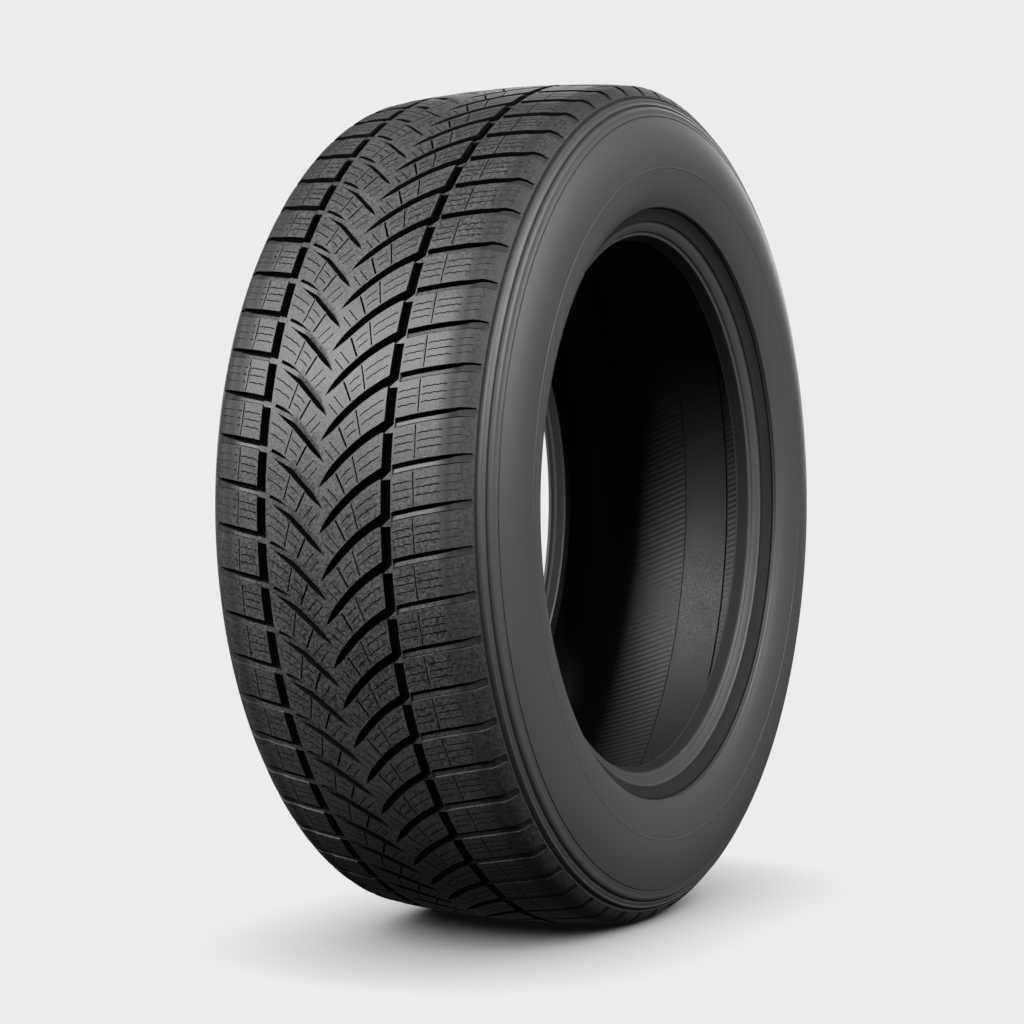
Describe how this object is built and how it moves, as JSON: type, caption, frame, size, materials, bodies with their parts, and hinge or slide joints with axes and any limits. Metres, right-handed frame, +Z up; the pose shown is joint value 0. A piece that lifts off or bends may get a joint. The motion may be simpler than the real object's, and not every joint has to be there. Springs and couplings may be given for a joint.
{
  "type": "car tyre",
  "caption": "Round rubber car tyre with a directional V winter tread, smooth sidewalls and an open bore for its rim.",
  "frame": {"origin": "the wheel's centre, on the axle line and on the middle plane between the beads", "axes": "+Y along the axle towards the inboard sidewall, +Z up, with the tyre standing on its tread"},
  "size_m": [0.69, 0.25, 0.6869],
  "materials": {
    "rubber": "matt moulded rubber"
  },
  "bodies": {
    "root": {"tyre": "rubber"}
  },
  "joints": []
}
